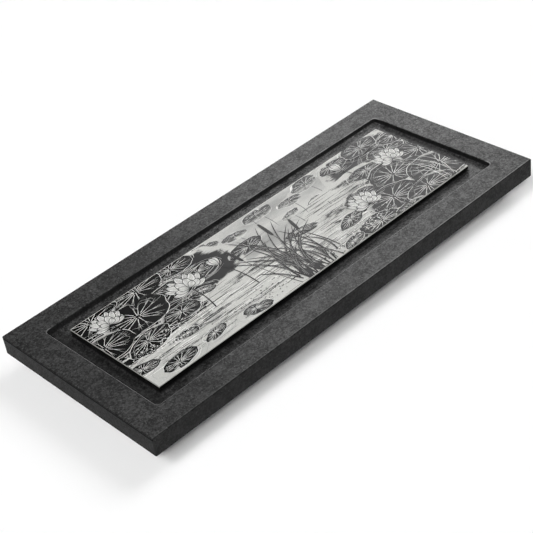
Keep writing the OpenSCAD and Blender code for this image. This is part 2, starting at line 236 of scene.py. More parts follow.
def makeStone():
    material, add = newMaterial("honed black stone, sawn, with painted light and shade")
    coords = add("ShaderNodeTexCoord").outputs["Object"]
    x, y, z = add("ShaderNodeSeparateXYZ", None, (coords,)).outputs
    colour, mottle = mottledStone(add, coords)
    upright, leaning, lengthways = facing(add)
    onSide = add("ShaderNodeMath", times, (upright, slab["sideShare"]))
    colour = add("ShaderNodeMix", mixed, (onSide, colour, srgb(slab["side"])))
    # Inside the moat, its lip and the underside left out, with painted light and shade on its floor and walls
    away = mouthDistance(add, coords)
    high, low = slab["belowLip"]
    footLow, footHigh = slab["aboveFoot"]
    between = add("ShaderNodeMath", times, (
        add("ShaderNodeMapRange", smooth, (z, slabHigh.z - high, slabHigh.z - low)),
        add("ShaderNodeMapRange", smooth, (z, slabLow.z + footLow, slabLow.z + footHigh))))
    within = add("ShaderNodeMapRange", smooth, (away, slab["mouthSoft"], 0))
    inside = add("ShaderNodeMath", times, (within, between))
    colour = add("ShaderNodeMix", multiplied, (inside, colour, moatShade(add, x, y, upright, lengthways)))
    # Painted highlight on the lip; painted shade on the outer faces, their edges and the front bevel
    patches = add("ShaderNodeTexNoise", None, {"Vector": coords, **slab["patches"]})
    patchy = add("ShaderNodeMapRange", smooth, (patches, *slab["patchRange"]))
    colour = add("ShaderNodeMix", mixed, (lipHighlight(add, x, y, z, away, patchy), colour, srgb(slab["highlightGrey"])))
    # Painted shade on the outer front and end faces
    outer = add("ShaderNodeMapRange", smooth, (away, *slab["outerRange"]))
    onShadedFace = add("ShaderNodeMath", times, (outer, add("ShaderNodeMath", larger, (upright, lengthways))))
    paintedFaceShade = add("ShaderNodeMapRange", smooth, (lengthways, *slab["paintedFaceShades"]))
    colour = add("ShaderNodeMix", multiplied, (onShadedFace, colour, paintedFaceShade))
    # Painted dark lines on the end faces and along the far edge of the top
    edgeShade = edgeShadeLines(add, x, z, add("ShaderNodeMath", times, (outer, lengthways)))
    colour = add("ShaderNodeMix", mixed, (edgeShade, colour, srgb(slab["edgeDark"])))
    # Painted shade on the front bevel, and a painted highlight on the strip of the top beside it
    bevel, strip = frontArris(add, x, y, z, leaning, lengthways, outer, patchy)
    colour = add("ShaderNodeMix", mixed, (bevel, colour, srgb(slab["edgeDark"])))
    colour = add("ShaderNodeMix", mixed, (strip, colour, srgb(slab["highlightGrey"])))
    rough = add("ShaderNodeMath", larger, (
        add("ShaderNodeMapRange", smooth, (mottle, *slab["roughRange"])), edgeShade))
    bump = add("ShaderNodeBump", None, {
        "Strength": slab["toothStrength"], "Distance": slab["toothDepth"],
        "Height": add("ShaderNodeTexNoise", None, {"Vector": coords, **slab["tooth"]})})
    shader = add("ShaderNodeBsdfPrincipled", None, {
        "Base Color": colour, "Roughness": rough, "Normal": bump, "IOR": slab["ior"],
        "Specular IOR Level": slab["mirror"]})
    add("ShaderNodeOutputMaterial", None, {"Surface": shader})
    return material


# The same stone with a picture blasted into it: ink is the bare honed stone, nearly black and a little
# smoother, and the ground is blasted to a dull pale grey. Grit and tooth are finer in life, and are drawn
# as coarse as they need to show. Every mark carries two attributes: tone, from black to white, and cover,
# from bare ground to full.
board = {
    # The upper arris colour is pale grey: partly the cut edge's own grey, partly a painted highlight
    "ground": "#c7c7c3", "groundLow": "#b8b8b5", "edge": "#9a9a96", "side": "#101010",
    "tones": ((0.0, "#060606"), (0.12, "#0a0a0a"), (0.32, "#3a3a3a"), (0.6, "#828281"), (0.82, "#bdbdba"),
              (1.0, "#f4f4f1")),
    # Patterns are drawn out along the board, as a brush draws them
    "stretch": (0.35, 1.0, 1.0),
    "cloud": {"Scale": 1 / (46 * mm), "Detail": 3, "Roughness": 0.5, "Distortion": 0.6},
    "cloudRange": (0.45, 0.75),
    "brush": {"Scale": 1 / (5 * mm), "Detail": 5, "Roughness": 0.65, "Distortion": 0.8},
    "brushBreak": 1.1, "brushTone": 0.22, "coverRange": (0.30, 0.62), "fullCover": 0.97,
    "grit": {"Scale": 1 / (1.4 * mm), "Detail": 4, "Roughness": 0.75}, "gritRange": (0.25, 0.75, 0.82, 1.16),
    # Borders of the face: dark along the drain end, and pale along the back, a painted highlight on its edge
    "endBorder": (0.8 * mm, 0.9 * mm), "endShade": 0.3, "backBorder": (1.15 * mm, 1.05 * mm),
    "backShade": 1.5, "arrisDepth": (2 * mm, 1 * mm), "bareRange": (0.75, 0.35), "inkRough": 0.29,
    "groundRough": 0.44, "ior": 1.5, "mirror": 0.023, "toothStrength": 0.25, "toothDepth": 0.08 * mm,
    "tooth": {"Scale": 1 / (0.8 * mm), "Detail": 3, "Roughness": 0.7},
}


# Colour and cover of the washes and strokes, with the ground left where the brush ran dry
def printedFace(add, coords):
    stretched = add("ShaderNodeMapping", None, {"Vector": coords, "Scale": board["stretch"]})
    cloud = add("ShaderNodeTexNoise", None, {"Vector": stretched, **board["cloud"]})
    ground = add("ShaderNodeMix", mixed, (add("ShaderNodeMapRange", smooth, (cloud, *board["cloudRange"])),
                                          srgb(board["ground"]), srgb(board["groundLow"])))
    tone, cover = (add("ShaderNodeAttribute", {"attribute_name": name}).outputs["Fac"]
                   for name in ("tone", "cover"))
    brush = add("ShaderNodeTexNoise", None, {"Vector": stretched, **board["brush"]})
    uneven = add("ShaderNodeMath", minus, (brush, 0.5))
    broken = add("ShaderNodeMath", plus, (cover, add("ShaderNodeMath", times, (uneven, board["brushBreak"]))))
    dryBrush = add("ShaderNodeMapRange", smooth, (broken, *board["coverRange"]))
    full = add("ShaderNodeMath", {"operation": "GREATER_THAN"}, (cover, board["fullCover"]))
    cover = add("ShaderNodeMath", larger, (dryBrush, full))
    toned = add("ShaderNodeMath", {"operation": "ADD", "use_clamp": True}, (
        tone, add("ShaderNodeMath", times, (uneven, board["brushTone"]))))
    ink = add("ShaderNodeValToRGB", None, (toned,))
    stops = ink.color_ramp.elements
    stops[0].color, stops[1].color = srgb(board["tones"][0][1]), srgb(board["tones"][-1][1])
    for position, code in board["tones"][1:-1]:
        stops.new(position).color = srgb(code)
    grit = add("ShaderNodeTexNoise", None, {"Vector": coords, **board["grit"]})
    colour = add("ShaderNodeMix", multiplied, (
        1.0, add("ShaderNodeMix", mixed, (cover, ground, ink)),
        add("ShaderNodeMapRange", smooth, (grit, *board["gritRange"]))))
    dark = add("ShaderNodeMapRange", smooth, (tone, *board["bareRange"]))
    return colour, add("ShaderNodeMath", times, (cover, dark))


def makePicture():
    material, add = newMaterial("picture blasted into black stone")
    coords = add("ShaderNodeTexCoord").outputs["Object"]
    x, y, height = add("ShaderNodeSeparateXYZ", None, (coords,)).outputs
    printed, bare = printedFace(add, coords)
    start, end = board["endBorder"]
    backStart, backEnd = board["backBorder"]
    # The face's borders: darker at the drain end, and a painted highlight along the back
    border = add("ShaderNodeMath", times, (
        add("ShaderNodeMapRange", smooth, (x, start - boardHigh.x, end - boardHigh.x, board["endShade"], 1)),
        add("ShaderNodeMapRange", smooth, (y, boardHigh.y - backStart, boardHigh.y - backEnd, 1,
                                           board["backShade"]))))
    printed = add("ShaderNodeMix", multiplied, (1.0, printed, border))
    upright, leaning, _ = facing(add)
    onTop = add("ShaderNodeMath", minus, (1.0, add("ShaderNodeMath", larger, (upright, leaning))))
    colour = add("ShaderNodeMix", mixed, (onTop, srgb(board["side"]), printed))
    # Pale upper arris: partly the cut edge's own grey, partly a painted highlight
    low, high = board["arrisDepth"]
    upperArris = add("ShaderNodeMath", times, (
        leaning, add("ShaderNodeMapRange", smooth, (height, boardHigh.z - low, boardHigh.z - high))))
    colour = add("ShaderNodeMix", mixed, (upperArris, colour, srgb(board["edge"])))
    honed = add("ShaderNodeMath", larger, (bare, add("ShaderNodeMath", minus, (1.0, onTop))))
    rough = add("ShaderNodeMapRange", smooth, (honed, 0, 1, board["groundRough"], board["inkRough"]))
    bump = add("ShaderNodeBump", None, {
        "Strength": board["toothStrength"], "Distance": board["toothDepth"],
        "Height": add("ShaderNodeTexNoise", None, {"Vector": coords, **board["tooth"]})})
    shader = add("ShaderNodeBsdfPrincipled", None, {
        "Base Color": colour, "Roughness": rough, "Normal": bump, "IOR": board["ior"],
        "Specular IOR Level": board["mirror"]})
    add("ShaderNodeOutputMaterial", None, {"Surface": shader})
    return material


# Rubber from a mould: dull and even, nearly black, with a faint tooth, drawn as coarse as it needs to show
rubber = {"dark": "#242425", "light": "#313132", "rough": 0.62, "toothStrength": 0.2, "toothDepth": 0.05 * mm,
          "cloud": {"Scale": 1 / (9 * mm), "Detail": 4, "Roughness": 0.55}, "cloudRange": (0.3, 0.7),
          "tooth": {"Scale": 1 / (0.7 * mm), "Detail": 2, "Roughness": 0.55}}


def makeRubber():
    material, add = newMaterial("moulded dark rubber")
    coords = add("ShaderNodeTexCoord").outputs["Object"]
    cloud, tooth = (add("ShaderNodeTexNoise", None, {"Vector": coords, **rubber[name]})
                    for name in ("cloud", "tooth"))
    colour = add("ShaderNodeMix", mixed, (add("ShaderNodeMapRange", smooth, (cloud, *rubber["cloudRange"])),
                                          srgb(rubber["dark"]), srgb(rubber["light"])))
    bump = add("ShaderNodeBump", None, {"Strength": rubber["toothStrength"], "Distance": rubber["toothDepth"],
                                        "Height": tooth})
    shader = add("ShaderNodeBsdfPrincipled", None, {
        "Base Color": colour, "Roughness": rubber["rough"], "Normal": bump})
    add("ShaderNodeOutputMaterial", None, {"Surface": shader})
    return material


# Silicone from a mould: milky, with a soft sheen, and light goes a little way into it
silicone = {"colour": "#cfcdc4", "rough": 0.5, "milky": 0.15, "depth": (2 * mm, 2 * mm, 1.6 * mm)}


def makeSeal():
    material, add = newMaterial("moulded milky silicone")
    shader = add("ShaderNodeBsdfPrincipled", None, {
        "Base Color": srgb(silicone["colour"]), "Roughness": silicone["rough"],
        "Subsurface Weight": silicone["milky"], "Subsurface Radius": silicone["depth"]})
    add("ShaderNodeOutputMaterial", None, {"Surface": shader})
    return material


# Stainless steel from a lathe: fine rings round the drain's axis draw its highlights out. The real rings
# are finer, and are drawn as coarse as they need to show.
steel = {"colour": "#8f9193", "ring": 0.4488 * mm, "uneven": {"Distortion": 0.6, "Detail": 2.0},
         "ringStrength": 0.15, "ringDepth": 0.03 * mm, "roughRange": (0.3, 0.7, 0.24, 0.36),
         "cloud": {"Scale": 1 / (6 * mm), "Detail": 3, "Roughness": 0.55}}
ringPhase = 20  # radians that a wave texture turns by in a unit at scale 1


def makeSteel():
    low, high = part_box("drain_body")
    axis = (low + high) / 2
    material, add = newMaterial("turned stainless steel")
    coords = add("ShaderNodeTexCoord").outputs["Object"]
    centred = add("ShaderNodeMapping", None, {"Vector": coords, "Location": (-axis.x, -axis.y, 0)})
    rings = add("ShaderNodeTexWave", {"wave_type": "RINGS", "rings_direction": "Z"}, {
        "Vector": centred, "Scale": math.tau / (ringPhase * steel["ring"]), **steel["uneven"]})
    bump = add("ShaderNodeBump", None, {"Strength": steel["ringStrength"], "Distance": steel["ringDepth"],
                                        "Height": rings.outputs["Fac"]})
    cloud = add("ShaderNodeTexNoise", None, {"Vector": coords, **steel["cloud"]})
    rough = add("ShaderNodeMapRange", smooth, (cloud, *steel["roughRange"]))
    shader = add("ShaderNodeBsdfPrincipled", None, {
        "Base Color": srgb(steel["colour"]), "Metallic": 1.0, "Roughness": rough, "Normal": bump})
    add("ShaderNodeOutputMaterial", None, {"Surface": shader})
    return material


stoneMaterial, pictureMaterial, rubberMaterial = makeStone(), makePicture(), makeRubber()
sealMaterial, steelMaterial = makeSeal(), makeSteel()
dress = {"stone_slab": stoneMaterial, "picture_board": pictureMaterial, "flange_gasket": sealMaterial,
         "under_washer": sealMaterial, "elbow_seal_ring": rubberMaterial, "drain_body": steelMaterial,
         "drain_strainer": steelMaterial, "strainer_screw": steelMaterial, "lock_nut": steelMaterial,
         "outlet_elbow": steelMaterial}
for name, obj in cadNodes.items():
    obj.data.materials.clear()
    obj.data.materials.append(dress.get(name, rubberMaterial))
print("materials set on", len(cadNodes), "CAD nodes")

# The picture: a lotus pond in the manner of an ink painting, drawn in the board's own millimetres from its
# middle. Marks are washes (filled shapes) and brush strokes. Each layer lies a little above the last, and
# marks of one layer that may cross lie a hair apart, so that no two share a plane. Tones run from 0, ink,
# to 1, white. Places are x and y, then a leaf's size and squash, a flower's size, stalk and lean, a bud's
# size and stalk, or the reach of a wash.
pond = {
    "seed": 11, "lift": 6 * micron, "layerStep": 2 * micron, "markStep": 0.3 * micron, "marksApart": 6,
    "trimEnd": 0.8 * mm, "trimSide": 1.1 * mm, "finest": 0.05,
    # Far bank
    "mist": ((-70, 44, 80), (40, 58, 90), (150, 50, 90), (-10, 14, 70), (236, 64, 60)),
    "mistDepth": 20, "mistTone": 0.68,
    "mistLeaves": ((-64, 62, 24, 0.42), (-22, 52, 18, 0.4), (24, 62, 24, 0.42), (66, 50, 19, 0.4),
                   (102, 62, 24, 0.45), (92, 26, 17, 0.4), (48, 30, 15, 0.4)),
    # Water: dark pools with their solid share, shallows with their cover, then ripples with their spread,
    # number, tone, longest line and width, and duckweed with its spread, number, tone and size
    "pools": ((-192, 18, 96, 66, 0.74), (-116, 34, 74, 46, 0.66), (192, -14, 94, 72, 0.74),
              (108, -48, 88, 38, 0.66), (196, 36, 84, 40, 0.66)),
    "shallows": ((-150, -34, 90, 16, 0.55), (-60, -10, 70, 14, 0.5), (20, -44, 90, 20, 0.42),
                 (84, -10, 70, 16, 0.5), (140, 22, 60, 14, 0.5)),
    "ripples": ((-140, -36, 60, 14, 110, 0.08, 50, 0.9), (20, -30, 70, 20, 96, 0.08, 60, 0.9),
                (110, 4, 50, 12, 40, 0.14, 50, 0.9), (-150, -30, 60, 14, 70, 0.98, 44, 0.85),
                (30, -40, 70, 16, 110, 0.98, 50, 0.85), (190, -20, 40, 30, 60, 0.9, 30, 0.8),
                (-180, 20, 40, 30, 50, 0.9, 30, 0.8)),
    "duckweed": ((-60, -52, 40, 7, 130, 0.05, 1.3), (30, -60, 30, 5, 90, 0.05, 1.3)),
    # Groups at the drain end and at the far end, with reeds between them
    "nearLeaves": ((-106, 66, 28, 0.5), (-160, 66, 38, 0.52), (-226, 64, 42, 0.55), (-92, 34, 22, 0.46),
                   (-134, 34, 32, 0.55), (-188, 32, 44, 0.6), (-240, 16, 34, 0.62), (-152, -2, 26, 0.48),
                   (-204, -12, 31, 0.5), (-112, 6, 16, 0.42), (-238, -40, 20, 0.46), (-172, -34, 16, 0.4),
                   (-204, -60, 24, 0.45), (-152, -58, 17, 0.42), (-96, -64, 20, 0.42)),
    "nearFlowers": ((-118, 22, 30, 48, -0.1), (-214, 44, 26, 20, 0.1)), "nearBud": (-70, 26, 19, 60),
    "nearDuckweed": (-176, -22, 34, 9, 150, 0.97, 1.2),
    "reedLeaves": ((-30, 26, 27, 0.4), (32, -4, 22, 0.38)),
    "reeds": {"count": 38, "x": (-6, 16), "y": (-84, -60), "length": (46, 120), "lean": (-0.6, 0.65),
              "tone": 0.0, "width": 2.8},
    "cattails": ((-36, 118, -0.12), (4, 128, 0.06), (20, 104, 0.2)), "cattailFoot": -72,
    "farLeaves": ((214, 30, 28, 0.5), (166, 18, 26, 0.48), (240, 0, 34, 0.6), (124, -14, 28, 0.5),
                  (186, -10, 40, 0.6), (82, -36, 22, 0.45), (146, -44, 40, 0.58), (228, -42, 44, 0.62),
                  (98, -64, 30, 0.5), (190, -66, 38, 0.52), (54, -66, 18, 0.42), (144, -76, 26, 0.45),
                  (150, 58, 24, 0.45), (200, 62, 30, 0.5), (244, 44, 24, 0.5)),
    "farFlowers": ((118, -30, 28, 40, 0.1), (206, 10, 26, 40, 0.1)), "farBud": (150, 44, 19, 44),
    "farReeds": {"count": 5, "x": (228, 10), "y": (-82, -66), "length": (40, 80), "lean": (-0.5, 0.1),
                 "tone": 0.85, "width": 0.9},
    "farDuckweed": (90, -56, 30, 6, 90, 0.97, 1.2),
}
faceZ = boardHigh.z
halfL, halfW = boardHigh.x - pond["trimEnd"], boardHigh.y - pond["trimSide"]
layer = {"z": faceZ + pond["lift"], "turn": 0}
fills = {"points": [], "faces": [], "tone": [], "cover": []}
strokes = {"points": [], "edges": [], "half": [], "tone": []}
rng = random.Random(pond["seed"])


def nextLayer():
    layer["z"] += pond["layerStep"]


def markHeight():
    layer["turn"] = (layer["turn"] + 1) % pond["marksApart"]
    return layer["z"] + layer["turn"] * pond["markStep"]


def clamped(value):
    return min(1.0, max(0.0, value))


# Rows of points joined into a sheet: cover is 1 where it is solid
def addFill(rows, tones, covers=None, closed=True):
    start, wide, z = len(fills["points"]), len(rows[0]), markHeight()
    for r, row in enumerate(rows):
        for c, (x, y) in enumerate(row):
            fills["points"].append((x * mm, y * mm, z))
            fills["tone"].append(clamped(tones[r][c]))
            fills["cover"].append(covers[r][c] if covers else 1.0)
    for r in range(len(rows) - 1):
        for c in range(wide if closed else wide - 1):
            a, b = start + r * wide + c, start + r * wide + (c + 1) % wide
            fills["faces"].append((a, b, b + wide, a + wide))


# Even steps from a start to an end, both included
def steps(count, start=0.0, end=1.0):
    return [start + (end - start) * (k / (count - 1)) for k in range(count)]


# How wide a stroke is along its length: a brush that lands and lifts, and lines that thin out or swell
def brushed(t):
    return math.sin(math.pi * (0.12 + 0.86 * t)) ** 0.7


def widening(change):
    return lambda t: 1 + change * t


def addStroke(points, width, tone, press=brushed):
    start, z = len(strokes["points"]), markHeight()
    for i, (t, (x, y)) in enumerate(zip(steps(len(points)), points)):
        strokes["points"].append((x * mm, y * mm, z))
        strokes["half"].append(max(width / 2 * press(t), pond["finest"]) * mm)
        strokes["tone"].append(clamped(tone))
        if i:
            strokes["edges"].append((start + i - 1, start + i))


# A slow wave round a circle, different for each seed
def wobble(seed, count=4):
    r = random.Random(seed)
    terms = [(r.uniform(-1, 1) / (i + 1), r.randint(2, 4) + 3 * i, r.uniform(0, math.tau))
             for i in range(count)]
    return lambda a: sum(amp * math.sin(freq * a + shift) for amp, freq, shift in terms)


def curve(start, end, sag, count=14):
    (x0, y0), (x1, y1) = start, end
    return [(x0 + (x1 - x0) * t - (y1 - y0) * sag * math.sin(math.pi * t),
             y0 + (y1 - y0) * t + (x1 - x0) * sag * math.sin(math.pi * t)) for t in steps(count)]


# Lotus leaves and the rings round them. Lengths are shares of a leaf's size, angles are radians, and widths
# of lines are millimetres on a leaf of fullSize.
leaf = {
    "levels": (0.0, 0.1, 0.25, 0.42, 0.6, 0.76, 0.88, 0.96, 1.0), "sectorSteps": 8, "wave": 0.07,
    "notchDepth": 0.32, "notchWidth": 0.15, "turn": 0.25, "middleX": (-0.14, 0.14), "middleY": (-0.1, 0.14),
    "pleat": 0.20, "uneven": 0.04, "rimTone": 0.08, "fullSize": 36, "fineness": 0.4,
    "lineTone": 0.95, "mistGrey": 0.45, "mistMiddle": 0.55, "mistDepth": 1.5, "arcSpan": (0.5, 1.5),
    "veinWidth": 0.74, "veinBend": 0.2, "veinStart": 0.07, "veinStagger": 0.1, "veinEnd": (0.6, 0.86),
    "forkWidth": 0.46, "forkStart": (0.36, 0.55), "forkSpread": (0.2, 0.32), "forkEnd": (0.78, 0.94),
    "forkGrey": 0.15, "scallops": (0.66, 0.78, 0.87), "scallopDepth": 0.022, "scallopWidth": 0.46,
    "scallopGrey": 0.2, "rimArcs": ((0.15, 2.7), (3.15, 2.5)), "rimShift": 0.2, "rimAt": 0.985,
    "rimWidth": 0.72, "curlStart": (0.2, 2.6), "curlSpan": (0.8, 1.4), "curlDepth": 0.2, "curlSteps": 19,
    "curlTones": (0.85, 0.6), "curlWidth": 0.9, "tickWidth": 0.5, "tickTone": 0.3,
    "ringCount": 5, "ringArcs": 3, "ringStart": 1.1, "ringStep": 0.1, "ringWave": 0.05, "ringSquash": 1.05,
    "ringWidth": (0.45, 0.75), "ringTone": 0.95, "ringFade": 0.06,
}


# A round leaf seen aslant: pleated between its veins, which are left white, with a curled rim. Mist thins
# its lower part.
def lotusLeaf(x, y, size, squash, seed, veins=15, tone=0.0, mist=0.0):
    r = random.Random(seed)
    wave, cloud = wobble(seed), wobble(seed + 50)
    notch, turn = r.uniform(0, math.tau), r.uniform(-leaf["turn"], leaf["turn"])
    offX, offY = r.uniform(*leaf["middleX"]) * size, r.uniform(*leaf["middleY"]) * size

    def place(a, share):
        dip = leaf["notchDepth"] * math.exp(-(math.remainder(a - notch, math.tau) / leaf["notchWidth"]) ** 2)
        reach = size * (1 + leaf["wave"] * wave(a) - dip) * share
        px = math.cos(a) * reach + offX * (1 - share)
        py = math.sin(a) * reach * squash + offY * (1 - share)
        return x + px * math.cos(turn) - py * math.sin(turn), y + px * math.sin(turn) + py * math.cos(turn)

    def lowness(a, share):
        return (y - place(a, share)[1]) / (size * squash)

    count, levels = veins * leaf["sectorSteps"], leaf["levels"]
    angles = [notch + math.tau * k / count for k in range(count)]
    pleats = [((k / leaf["sectorSteps"] + 0.5) % 1) ** 2 for k in range(count)]
    nextLayer()
    addFill([[place(a, share) for a in angles] for share in levels],
            [[tone + leaf["pleat"] * pleat * share + leaf["uneven"] * cloud(a) + leaf["rimTone"] * share ** 6
              for a, pleat in zip(angles, pleats)] for share in levels],
            [[1 - mist * clamped(leaf["mistMiddle"] + lowness(a, share) / leaf["mistDepth"]) for a in angles]
             for share in levels])
    nextLayer()
    white = min(1.0, tone + leaf["lineTone"] - leaf["mistGrey"] * mist)
    fine = (size / leaf["fullSize"]) ** leaf["fineness"]
    for i in range(veins):
        a = notch + math.tau * (i + 0.5) / veins
        bend, fork = r.uniform(-leaf["veinBend"], leaf["veinBend"]), r.uniform(*leaf["forkStart"])
        if lowness(a, 0.8) > 0.3 and r.random() < mist:
            continue
        start, end = leaf["veinStart"] + leaf["veinStagger"] * (i % 2), r.uniform(*leaf["veinEnd"])
        addStroke([place(a + bend * s, s) for s in steps(8, start, end)], leaf["veinWidth"] * fine, white,
                  widening(-0.75))
        for side in (-1, 1):
            spread = side * r.uniform(*leaf["forkSpread"]) * math.tau / veins
            end = r.uniform(*leaf["forkEnd"])
            addStroke([place(a + bend * s + spread * ((s - fork) / (1 - fork)) ** 0.8, s)
                       for s in steps(6, fork, end)], leaf["forkWidth"] * fine, white - leaf["forkGrey"],
                      widening(-0.6))
    # Scalloped lines that follow the rim, then the rim itself
    for level in leaf["scallops"]:
        for _ in range(2):
            a0, span = r.uniform(0, math.tau), r.uniform(*leaf["arcSpan"])
            addStroke([place(a, level + leaf["scallopDepth"] * math.sin(veins * a))
                       for a in steps(22, a0, a0 + span)], leaf["scallopWidth"] * fine,
                      white - leaf["scallopGrey"])
    for a0, span in leaf["rimArcs"]:
        a0 += notch + r.uniform(-leaf["rimShift"], leaf["rimShift"])
        addStroke([place(a, leaf["rimAt"]) for a in steps(30, a0, a0 + span)], leaf["rimWidth"] * fine, white)
    curlLeaf(place, r.uniform(*leaf["curlStart"]), r.uniform(*leaf["curlSpan"]), tone, fine)


# The pale underside where a leaf's rim rolls over
def curlLeaf(place, a0, span, tone, fine):
    count = leaf["curlSteps"]
    outer = [place(a0 + span * t, 1.0) for t in steps(count)]
    inner = [place(a0 + span * t, 1.0 - leaf["curlDepth"] * math.sin(math.pi * t) ** 0.8)
             for t in steps(count)]
    nextLayer()
    addFill([outer, inner], [[tone + lighter] * count for lighter in leaf["curlTones"]], closed=False)
    nextLayer()
    addStroke(inner, leaf["curlWidth"] * fine, tone)
    for (innerX, innerY), (outerX, outerY) in list(zip(inner, outer))[3:17:3]:
        addStroke([(innerX, innerY), ((innerX + outerX) / 2, (innerY + outerY) / 2)],
                  leaf["tickWidth"] * fine, tone + leaf["tickTone"], widening(-0.6))


# Broken rings that spread over the water round a leaf
def waterRings(x, y, size, squash, seed):
    r = random.Random(seed)
    wave = wobble(seed + 9)
    nextLayer()
    for k in range(leaf["ringCount"]):
        reach = size * (leaf["ringStart"] + leaf["ringStep"] * k)
        for _ in range(leaf["ringArcs"]):
            a0, span = r.uniform(0, math.tau), r.uniform(*leaf["arcSpan"])
            ring = [(a, reach * (1 + leaf["ringWave"] * wave(a))) for a in steps(16, a0, a0 + span)]
            addStroke([(x + far * math.cos(a), y + far * squash * leaf["ringSquash"] * math.sin(a))
                       for a, far in ring], r.uniform(*leaf["ringWidth"]),
                      leaf["ringTone"] - leaf["ringFade"] * k)


# Lotus flowers and buds: each ring of petals has its angles in degrees, then length and width to the
# flower's size. Line widths are millimetres.
flower = {
    "rings": (((-88, 88), 0.80, 0.20), ((-58, -24, 24, 58), 1.0, 0.21), ((-40, 0, 40), 0.95, 0.23),
              ((-72, 72), 0.62, 0.22), ((-22, 22), 0.66, 0.24), ((-48, 48), 0.46, 0.2)),
    "budRings": (((-16, 16, 0), 1.0, 0.27),), "swell": 1.4, "baseCurve": 0.8, "tipCurve": 2.4, "bow": 0.10,
    "white": 0.98, "baseGrey": 0.3, "foldGrey": 0.10, "ink": 0.02, "budInk": 0.03, "budLean": 0.08,
    "outline": 0.75, "veins": (-0.4, 0, 0.4), "veinSteps": (0.95, 0.85, 0.72, 0.6), "vein": 0.4,
    "veinTone": 0.3, "stalk": 1.3, "budStalk": 1.2, "stalkBend": 0.05, "stalkTone": 0.1,
}


# One petal, widest just past its middle: white at its edges, greyer towards the base and along its fold,
# with a thin ink outline
def petal(x, y, angle, length, width, ink):
    ca, sa = math.cos(angle), math.sin(angle)

    def place(t, side):
        half = side * width * flower["swell"] * t ** flower["baseCurve"] * (1 - t ** flower["tipCurve"])
        bow = flower["bow"] * length * math.sin(math.pi * t) * math.sin(angle)
        return x + sa * length * t + ca * (half + bow), y + ca * length * t - sa * (half + bow)

    along = steps(13, 0.02, 1.0)
    nextLayer()
    addFill([[place(t, side) for t in along] for side in (-1, 0, 1)],
            [[flower["white"] - flower["baseGrey"] * (1 - t) ** 2 - (0 if side else flower["foldGrey"])
              for t in along] for side in (-1, 0, 1)], closed=False)
    nextLayer()
    for side in (-1, 1):
        addStroke([place(t, side) for t in along], flower["outline"], ink, lambda t: 0.7 + 0.5 * t)
    for side in flower["veins"]:
        addStroke([place(t, side) for t in flower["veinSteps"]], flower["vein"], ink + flower["veinTone"],
                  widening(-0.6))


def lotusFlower(x, y, size, stalk, lean, ink=flower["ink"], rings=flower["rings"], width=flower["stalk"]):
    nextLayer()
    foot = (x + lean * stalk, y - stalk)
    addStroke(curve((x, y), foot, flower["stalkBend"]), width, ink + flower["stalkTone"], widening(0.4))
    for angles, long, wide in rings:
        for angle in angles:
            petal(x, y, math.radians(angle), size * long, size * wide, ink)


def lotusBud(x, y, size, stalk):
    lotusFlower(x, y, size, stalk, flower["budLean"], flower["budInk"], flower["budRings"],
                flower["budStalk"])


# Reeds and cattails: widths are millimetres, and bends are shares of the length
marsh = {"reedBend": 0.16, "bendSpread": (0.4, 1.2), "edgeAside": 0.2, "edgeWidth": 0.45, "edgeTone": 0.75,
         "stemBend": 0.03, "stemWidth": 1.0, "stemTone": 0.1, "headWidth": 4.6, "headTone": 0.0}


# A long blade, bending over towards its tip, with one pale edge
def reed(x, y, length, lean, tone, width):
    tip = (x + math.sin(lean) * length, y + math.cos(lean) * length)
    bend = marsh["reedBend"] * math.copysign(1, lean) * rng.uniform(*marsh["bendSpread"])
    line = curve((x, y), tip, bend, 18)
    nextLayer()
    addStroke(line, width, tone, lambda t: (0.45 + 1.1 * t) * (1 - t) ** 0.75 * 1.5)
    nextLayer()
    addStroke([(px - marsh["edgeAside"] * width, py) for px, py in line[3:15]], marsh["edgeWidth"],
              tone + marsh["edgeTone"])


def reedBed(count, x, y, length, lean, tone, width):
    for _ in range(count):
        reed(rng.gauss(*x), rng.uniform(*y), rng.uniform(*length), rng.uniform(*lean), tone, width)


# A thin stem with a thick head near its tip
def cattail(x, y, length, lean):
    line = curve((x, y), (x + lean * length, y + length), marsh["stemBend"])
    nextLayer()
    addStroke(line, marsh["stemWidth"], marsh["stemTone"], widening(-0.4))
    (x0, y0), (x1, y1) = line[9], line[12]
    addStroke([(x0 + (x1 - x0) * t, y0 + (y1 - y0) * t) for t in steps(9)], marsh["headWidth"],
              marsh["headTone"], lambda t: math.sin(math.pi * (0.06 + 0.88 * t)) ** 0.35)


# Flat water: long broken lines that gather and thin out
def ripples(x, y, spreadX, spreadY, count, tone, longest, width):
    nextLayer()
    for _ in range(count):
        px, py = rng.gauss(x, spreadX), rng.gauss(y, spreadY)
        length, rise = rng.uniform(0.25, 1.0) * longest, rng.uniform(-0.5, 0.5)
        addStroke([(px + length * (t - 0.5), py + rise * math.sin(5 * t + px)) for t in steps(9)],
                  rng.uniform(0.5, 1.0) * width, tone + rng.uniform(-0.1, 0.1))


# Washes: how many points go round each, how wavy it is, how its cover falls off outside the solid part,
# and the levels of a soft one
wash = {"points": 60, "wave": 0.14, "dryCover": 0.75, "leastCover": 0.1, "lastStreaks": 0.93,
        "softLevels": (0, 0.3, 0.5, 0.7, 0.85, 1)}


# Rings of points round a spot, with a slow wave on their outline
def pool(x, y, reachX, reachY, shares, seed):
    wave = wobble(seed)
    angles = [math.tau * k / wash["points"] for k in range(wash["points"])]
    around = [(a, 1 + wash["wave"] * wave(a)) for a in angles]
    return [[(x + reachX * s * out * math.cos(a), y + reachY * s * out * math.sin(a)) for a, out in around]
            for s in shares]


